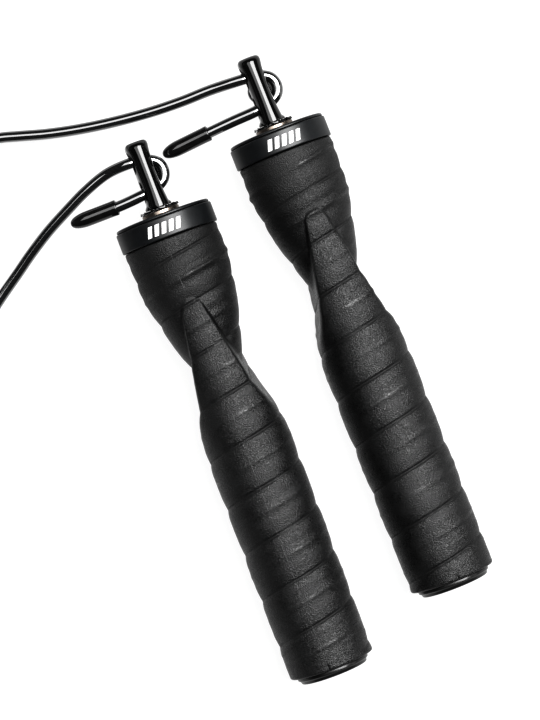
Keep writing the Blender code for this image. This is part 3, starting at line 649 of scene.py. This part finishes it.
def foot_and_shaft():
    """The post's foot, a low cone, and the shaft that goes down through the bearing, turned from
    one outline in mm."""
    a = circle(48)
    profile = soften([
        (0.02, -5.4), (3.3, -5.4), (3.7, -4.6), (4.6, -3.4), (4.6, -2.8), (1.7, -2.8), (1.7, 9.5),
        (0.02, 9.5),
    ], 0.25, 3) * MM
    r, z = profile[:, :1], profile[:, 1:]
    return np.stack([r * np.cos(a), r * np.sin(a), z + 0 * a], axis=2)


def cut_or_join(piece, rings, side, operation, ends="fans"):
    """Applies one exact Boolean with a helper surface, which is then removed."""
    helper = surface("helper", placed(rings, side, ROLLS[side][1]), ends)
    mod = piece.modifiers.new("step", "BOOLEAN")
    mod.operation, mod.solver, mod.object = operation, "EXACT", helper
    depsgraph = bpy.context.evaluated_depsgraph_get()
    result = bpy.data.meshes.new_from_object(piece.evaluated_get(depsgraph))
    piece.modifiers.clear()
    piece.data = result
    bpy.data.objects.remove(helper)


def post(side):
    """The body less its two holes, with the boss, the foot and the shaft joined on."""
    piece = surface(f"post_{side}", placed(post_body(), side, ROLLS[side][1]))
    for z0, z1 in HOLES:
        cut_or_join(piece, hole_plug(z0, z1), side, "DIFFERENCE")
    cut_or_join(piece, boss_dome(side), side, "UNION")
    cut_or_join(piece, foot_and_shaft(), side, "UNION", "loop")
    piece.data.name = piece.name
    piece.data.shade_smooth()
    piece.data.set_sharp_from_angle(angle=radians(32))
    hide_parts(f"eyelet_{side}")
    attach(piece, "rope")
    return piece


posts = {side: post(side) for side in ROLLS}
print("post faces", {s: len(p.data.polygons) for s, p in posts.items()})

# %% [markdown]
# ## Toothed washer
#
# A spring-steel lock washer with fourteen teeth sits between the post and the bearing. Each tooth
# is twisted, so its two corners stand above and below the plain ring and bite.

# %% Toothed washer
def tooth_washer(side):
    """Rings round a small rectangular section. The outer radius steps between root and tip once a
    tooth, and past the root a point is lifted in proportion to its place across the tooth."""
    teeth = 14
    a = circle(teeth * 20)
    share = (a * teeth / (2 * pi)) % 1.0
    tooth = smoothstep((share - 0.20) / 0.10) * smoothstep((0.92 - share) / 0.08)
    root, tip, hole = 5.5 * MM, 6.68 * MM, 2.05 * MM
    outer = root + (tip - root) * tooth
    twist = (share - 0.56) * 0.75 * MM
    section = [(0, -1), (0, 1), (0.5, 1), (1, 1), (1.02, 0), (1, -1), (0.5, -1)]
    rings = []
    for across, top in section:
        inner = hole + (root - hole) * min(across * 2, 1)
        r = inner + (outer - root) * max(across * 2 - 1, 0)
        lift = twist * np.clip((r - root + 0.15 * MM) / (tip - root), 0, 1)
        z = -2.25 * MM + top * 0.22 * MM - lift
        rings.append(np.stack([r * np.cos(a), r * np.sin(a), z], axis=1))
    piece = surface(f"lock_washer_{side}", placed(np.array(rings), side, ROLLS[side][1]), "loop")
    piece.data.set_sharp_from_angle(angle=radians(40))
    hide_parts(f"tooth_washer_{side}")
    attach(piece, "rope")
    return piece


washers = {side: tooth_washer(side) for side in ROLLS}

# %% [markdown]
# ## Finishes
#
# A material is a small graph of nodes. Written as wires and sums it reads like a formula: the class
# below wraps one socket, so that 1 - mask or noise * 0.2 + 0.5 adds the Math nodes by itself.

# %% Shader wires
class Wire:
    """One output of a material's node graph."""

    def __init__(self, tree, socket):
        self.tree, self.socket = tree, socket

    def node(self, kind, settings=None, inputs=None, output=0):
        """Any node: its type, its settings, set first, and the values or wires of its sockets."""
        made = self.tree.nodes.new(kind)
        for key, value in (settings or {}).items():
            setattr(made, key, value)
        for key, value in (inputs or {}).items():
            if isinstance(value, Wire):
                self.tree.links.new(value.socket, made.inputs[key])
            else:
                made.inputs[key].default_value = value
        return Wire(self.tree, made.outputs[output])

    def math(self, operation, *others):
        wire = self.node("ShaderNodeMath", {"operation": operation})
        for socket, value in zip(wire.socket.node.inputs, (self, *others)):
            if isinstance(value, Wire):
                self.tree.links.new(value.socket, socket)
            else:
                socket.default_value = value
        return wire

    def __add__(self, other):
        return self.math("ADD", other)

    __radd__ = __add__

    def __mul__(self, other):
        return self.math("MULTIPLY", other)

    __rmul__ = __mul__

    def __sub__(self, other):
        return self.math("SUBTRACT", other)

    def __rsub__(self, other):
        return self.math("MULTIPLY", -1.0).math("ADD", other)

    def fract(self):
        return self.math("FRACT")

    def size(self):
        return self.math("ABSOLUTE")

    def above(self, low, high):
        """0 below low and 1 above high, with a soft step between."""
        return self.node("ShaderNodeMapRange", {"interpolation_type": "SMOOTHSTEP"},
                         {"Value": self, "From Min": low, "From Max": high})

    def pick(self, off, on):
        """A colour: off where this is 0 and on where it is 1."""
        mixed = self.node("ShaderNodeMix", {"data_type": "RGBA"}, {"Factor": self}, 2)
        for socket, value in zip((6, 7), (off, on)):
            target = mixed.socket.node.inputs[socket]
            if isinstance(value, Wire):
                self.tree.links.new(value.socket, target)
            else:
                target.default_value = value
        return mixed


def finish(name, roughness, metallic=0.0, **fixed):
    """(material, its object-coordinate wire, its shader's inputs). Fixed values go on the shader."""
    material = bpy.data.materials.new(name)
    material.use_nodes = True
    shader = material.node_tree.nodes["Principled BSDF"]
    shader.inputs["Roughness"].default_value = roughness
    shader.inputs["Metallic"].default_value = metallic
    for key, value in fixed.items():
        shader.inputs[key.replace("_", " ")].default_value = value
    start = Wire(material.node_tree, None)
    place = start.node("ShaderNodeTexCoord", output=3)
    return material, place, shader.inputs


def feed(wire, socket):
    wire.tree.links.new(wire.socket, socket)


def uv_parts(place):
    """The piece's own UV map as two wires."""
    uv = place.node("ShaderNodeUVMap", {"uv_map": "wrap"})
    x = place.node("ShaderNodeSeparateXYZ", inputs={"Vector": uv}, output=0)
    return x, Wire(x.tree, x.socket.node.outputs[1])


def noise(place, scale, detail=2.0, rough=0.5):
    return place.node("ShaderNodeTexNoise", inputs={"Vector": place, "Scale": scale, "Detail": detail,
                                                    "Roughness": rough})


def bump(height, distance, normal=None):
    inputs = {"Height": height, "Distance": distance, "Strength": 1.0}
    if normal is not None:
        inputs["Normal"] = normal
    return height.node("ShaderNodeBump", inputs=inputs)


def grey(value, blue=0.0):
    """A grey, with blue raised by the given share and green by half of it."""
    return (value, value * (1 + blue / 2), value * (1 + blue), 1)


# %% [markdown]
# The rubber is deep black with a half sheen, broken by a leather grain of cells a third of a
# millimetre wide and by duller pores. The edge of the wrap is a thin groove that follows the same
# helix as the surface, painted a flat grey that stands for the shade in it. The ridge half way is
# rubbed shiny in places, the cone is duller, and the mould's parting line runs down the front as a
# broken hair of flash, with a painted highlight along it in pale grey.

# %% Rubber
def rubber(side):
    material, place, shader = finish("rubber_" + side, 0.55, Coat_Roughness=0.28)
    turn, z = uv_parts(place)
    over = 0.0 if side == "left" else 0.5              # the right grip lies turned over
    along = (z - EDGE_AT - PITCH * ((turn + over) - 0.25)) * (1 / PITCH) + 20.5
    off_edge = (along.fract() - 0.5) * (PITCH / MM)
    groove_and_shade = 1 - off_edge.size().above(0.08, 0.75)
    on_grip = z.above(9 * MM, 12 * MM) * (1 - z.above(157 * MM, 159 * MM))
    groove_and_shade = groove_and_shade * on_grip * (0.35 + 0.65 * noise(place, 90.0).above(0.35, 0.6))
    flash_and_highlight = 1 - (((turn + 0.25).fract() - 0.5).size() * (2 * pi * GRIP_R / MM)).above(0.03, 0.16)
    flecks = noise(place, 2600.0, 1.0)
    flash_and_highlight = flash_and_highlight * flecks.above(0.4, 0.6) * noise(place, 110.0, 1.0).above(0.42, 0.62)
    cells = place.node("ShaderNodeTexVoronoi", {"feature": "F1"},
                       {"Vector": place, "Scale": 2700.0, "Randomness": 1.0})
    fine = noise(place, 5200.0, 2.0)
    grain = cells * 0.75 + fine * 0.45
    blotch = noise(place, 160.0, 3.0)
    tone = (0.35 * grain + 0.65 * blotch).above(0.25, 0.85)
    color = tone.pick(grey(0.0010, 0.05), grey(0.007, 0.04))
    # painted shade: the groove gets a flat grey that stands for the shade in its crease
    color = groove_and_shade.pick(color, grey(0.004))
    # painted highlight: the pale grey along the parting line stands for light caught on the flash's ridge
    color = (flash_and_highlight * 0.7).pick(color, grey(0.14))
    feed(color, shader["Base Color"])
    crest = ((along - RIDGE_AT / PITCH).fract() - 0.5) * (PITCH / MM)
    crest = (1 - crest.size().above(0.1, 1.0)) * noise(place, 120.0, 1.0).above(0.48, 0.62) * on_grip
    pores = noise(place, 2400.0, 3.0, 0.6).above(0.38, 0.62)
    dull = 1 - z.above(22 * MM, 40 * MM)
    sheen = 0.22 + 0.08 * blotch.above(0.3, 0.7) + 0.20 * pores
    feed(sheen + groove_and_shade * 0.2 + 0.16 * dull, shader["Roughness"])
    feed(crest * (1 - pores) * 0.55, shader["Coat Weight"])
    normal = bump(grain, 0.17 * MM)
    normal = bump(groove_and_shade * -1.0 + flash_and_highlight * 0.25, 0.22 * MM, normal)
    feed(normal, shader["Normal"])
    return material


for side, piece in grips.items():
    piece.data.materials.append(rubber(side))

# %% [markdown]
# The collar is a satin nylon with a breath of blue. On its front stand five slanted white bars, a
# plain pad print. They are drawn from the collar's own UV map: how far round, and how far down.

# %% Satin plastic with its print
def satin(name, print_at=None):
    """Satin nylon. print_at is how far the print's middle lies from the collar's front, in mm
    round the collar."""
    material, place, shader = finish(name, 0.42)
    turn, z = uv_parts(place)
    cloud = noise(place, 420.0, 3.0)
    fine = noise(place, 3800.0, 2.0)
    color = (0.5 * cloud + 0.5 * fine).above(0.3, 0.75).pick(grey(0.0035, 0.35), grey(0.008, 0.35))
    if print_at is not None:
        across = (0.25 - turn) * (2 * pi * COLLAR_R / MM) - print_at
        down = z * (1 / MM)
        slanted = across + (down - 4.7) * 0.36
        # the print is 12.4 mm long and 3.6 mm high, with a bar every 2.5 mm
        within = (1 - slanted.size().above(6.15, 6.25)) * (1 - (down - 4.75).size().above(1.75, 1.85))
        bars = 1 - ((slanted * (1 / 2.5) + 20.5).fract() - 0.5).size().above(0.27, 0.31)
        ink = within * bars
        color = ink.pick(color, (0.93, 0.93, 0.93, 1))
        feed(0.40 + ink * 0.2, shader["Roughness"])
        feed(bump(fine * 0.3 + ink * 0.6, 0.02 * MM), shader["Normal"])
    else:
        feed(0.30 + cloud * 0.12, shader["Roughness"])
        feed(bump(fine, 0.006 * MM), shader["Normal"])
    feed(color, shader["Base Color"])
    return material


collar_finish = {"left": satin("satin_collar_left", 1.15), "right": satin("satin_collar_right", -0.25)}
cover_finish = satin("satin_cover")

# %% [markdown]
# The cable's sheath is smoky vinyl over twisted steel strands. The strands show as faint slanting
# lines, drawn from the tube's UV map so that they wind round the cable all the way along it. A
# strong clear coat gives it its hard, wet shine.

# %% Cable sheath
def sheath():
    material, place, shader = finish(
        "smoky_sheath", 0.08, Coat_Weight=1.0, Coat_Roughness=0.03, Coat_IOR=2.3,
    )
    run, turn = uv_parts(place)
    strand = ((run * (1 / (9.0 * MM)) + turn) * 6.0).fract()
    ridge = 1 - (strand - 0.5).size().above(0.05, 0.5)
    cloud = noise(place, 300.0, 2.0)
    color = (0.3 * ridge + 0.7 * cloud).above(0.1, 1.0).pick(grey(0.006, 0.06), grey(0.014, 0.05))
    feed(color, shader["Base Color"])
    feed(0.07 + 0.05 * cloud, shader["Roughness"])
    feed(bump(noise(place, 500.0), 0.004 * MM), shader["Normal"])
    return material


sheath_finish = sheath()
for piece in (cable, *loops.values()):
    piece.data.materials.append(sheath_finish)

# %% [markdown]
# The caps, the post, the plug and the toothed washer are all black, but not alike: dipped vinyl on
# the caps, enamel over cast metal on the post, a duller moulded plug with a faint orange-peel skin,
# and oxide on the washer's spring steel.

# %% Gloss blacks
def gloss(name, tone, roughness, peel, scale, metallic=0.0, coat=0.6):
    material, place, shader = finish(name, roughness, metallic, Coat_Weight=coat, Coat_Roughness=0.03)
    cloud = noise(place, 260.0, 3.0)
    skin = noise(place, scale, 2.0)
    feed(cloud.above(0.3, 0.7).pick(grey(tone * 0.7), grey(tone * 1.3)), shader["Base Color"])
    feed(roughness + 0.05 * cloud, shader["Roughness"])
    feed(bump(skin, peel), shader["Normal"])
    return material


cap_finish = gloss("dipped_vinyl", 0.006, 0.07, 0.005 * MM, 900.0, 0.0, 0.6)
plug_finish = gloss("moulded_black", 0.008, 0.30, 0.010 * MM, 1400.0, 0.0, 0.15)
post_finish = gloss("black_enamel", 0.003, 0.05, 0.004 * MM, 700.0, 0.0, 0.2)
washer_finish = gloss("black_oxide", 0.030, 0.22, 0.010 * MM, 2500.0, 0.9, 0.3)
for side in ROLLS:
    caps[side].data.materials.append(cap_finish)
    posts[side].data.materials.append(post_finish)
    washers[side].data.materials.append(washer_finish)

# %% [markdown]
# Steel is a metal with a colour of its own: warm nickel on the bearing, cooler zinc on the small
# washer and nut. A fine scratchy noise breaks up its shine. The hidden cage and core tube are plain
# plastics.

# %% Metals and inner plastics
def metal(name, color, roughness):
    material, place, shader = finish(name, roughness, 1.0)
    cloud = noise(place, 500.0, 3.0)
    darker = tuple(c * 0.72 for c in color[:3]) + (1,)
    feed(cloud.above(0.3, 0.7).pick(darker, color), shader["Base Color"])
    feed(roughness + 0.10 * cloud, shader["Roughness"])
    scratch = noise(place, 4200.0, 2.0)
    feed(bump(scratch, 0.004 * MM), shader["Normal"])
    return material


def plain(name, dark, light, roughness):
    material, place, shader = finish(name, roughness)
    cloud = noise(place, 500.0, 4.0)
    feed(cloud.above(0.3, 0.7).pick(dark, light), shader["Base Color"])
    feed(roughness + 0.12 * cloud, shader["Roughness"])
    feed(bump(noise(place, 2600.0), 0.01 * MM), shader["Normal"])
    return material


nickel = metal("nickel_race", (0.24, 0.21, 0.185, 1), 0.28)
zinc = metal("zinc_plate", (0.62, 0.64, 0.67, 1), 0.28)
cage_finish = plain("cage_nylon", (0.55, 0.53, 0.46, 1), (0.78, 0.76, 0.69, 1), 0.45)
core_finish = plain("core_tube", (0.30, 0.30, 0.29, 1), (0.46, 0.46, 0.44, 1), 0.5)


def webbing():
    """Hook-and-loop tape: a fuzzy black weave."""
    material, place, shader = finish("hook_and_loop", 0.9)
    fuzz = noise(place, 3000.0, 4.0, 0.7)
    feed(fuzz.above(0.35, 0.7).pick(grey(0.008), grey(0.035)), shader["Base Color"])
    feed(bump(fuzz, 0.25 * MM), shader["Normal"])
    return material


strap_finish = webbing()
for piece in straps:
    piece.data.materials.append(strap_finish)

turned_finish = {"top_cover": cover_finish, "bearing_race": nickel, "butt_cap": plug_finish}
for piece in turned_pieces:
    kind, side = piece.name.rsplit("_", 1)
    piece.data.materials.append(collar_finish[side] if kind == "collar_ring" else turned_finish[kind])

inner = {
    "core_tube": core_finish, "bearing_shield": zinc, "bearing_cage": cage_finish, "bearing_ball": nickel,
    "bearing_inner_ring": nickel, "thrust_washer": zinc, "lock_nut": zinc,
}
dressed = 0
for name, node in frame["nodes"].items():
    for start, material in inner.items():
        if name.startswith(start) and not node.hide_render:
            node.data.materials.clear()
            node.data.materials.append(material)
            dressed += 1
print(dressed, "solid nodes keep their shape and get a finish")

# %% [markdown]
# ## Floor and light
#
# The rope lies on a pale floor that glows by itself, so only a soft shadow is left on it. Black
# things are drawn by what they reflect: a big softbox overhead gives each round black piece its
# white stripe, a smaller and dimmer one beside it adds a grey band, and the floor lights the edges.
# A faint panel at each side opens the shadows.

# %% Floor
def floor():
    half = 6.0
    mesh = bpy.data.meshes.new("floor")
    corners = [(-half, -half, 0), (half, -half, 0), (half, half, 0), (-half, half, 0)]
    mesh.from_pydata(corners, [], [(0, 1, 2, 3)])
    material = bpy.data.materials.new("pale_floor")
    material.use_nodes = True
    shader = material.node_tree.nodes["Principled BSDF"]
    shader.inputs["Base Color"].default_value = (0.10, 0.10, 0.10, 1)
    shader.inputs["Roughness"].default_value = 1.0
    shader.inputs["Specular IOR Level"].default_value = 0.0
    shader.inputs["Emission Color"].default_value = (1, 1, 1, 1)
    shader.inputs["Emission Strength"].default_value = 0.92
    mesh.materials.append(material)
    plane = bpy.data.objects.new("floor", mesh)
    bpy.context.scene.collection.objects.link(plane)


floor()


# %% Lights
def softbox(name, centre, width, depth, radiance):
    """A rectangular lamp over or beside the rope. Its power is radiance times area times pi."""
    data = bpy.data.lights.new(name, "AREA")
    data.shape = "RECTANGLE"
    data.size, data.size_y = width, depth
    data.energy = radiance * width * depth * pi
    lamp = bpy.data.objects.new(name, data)
    bpy.context.scene.collection.objects.link(lamp)
    place = np.array(centre, float)
    # a lamp overhead faces down; one at the side faces the rope
    z = np.array([0.0, 0.0, 1.0]) if centre[2] > 1.5 else place / np.linalg.norm(place)
    x = np.cross([0.0, 1.0, 0.0], z)
    x /= np.linalg.norm(x)
    y = np.cross(z, x)
    matrix = np.eye(4)
    matrix[:3, :3] = np.stack([x, y, z], axis=1)
    matrix[:3, 3] = place
    lamp.matrix_world = Matrix(matrix.tolist())


softbox("key", (0.90, 0.72, 2.0), 1.80, 1.70, 19.0)
softbox("wing", (-0.65, 0.40, 2.0), 1.30, 1.35, 4.5)
softbox("right_panel", (2.6, 0.3, 0.9), 0.8, 1.6, 2.0)
softbox("left_panel", (-2.6, 0.0, 0.9), 0.8, 1.6, 0.25)

world = bpy.data.worlds.new("studio")
world.use_nodes = True
world.node_tree.nodes["Background"].inputs["Color"].default_value = (1, 1, 1, 1)
world.node_tree.nodes["Background"].inputs["Strength"].default_value = 0.04
bpy.context.scene.world = world
bpy.context.scene.view_settings.view_transform = "Standard"
bpy.context.scene.view_settings.gamma = 0.68
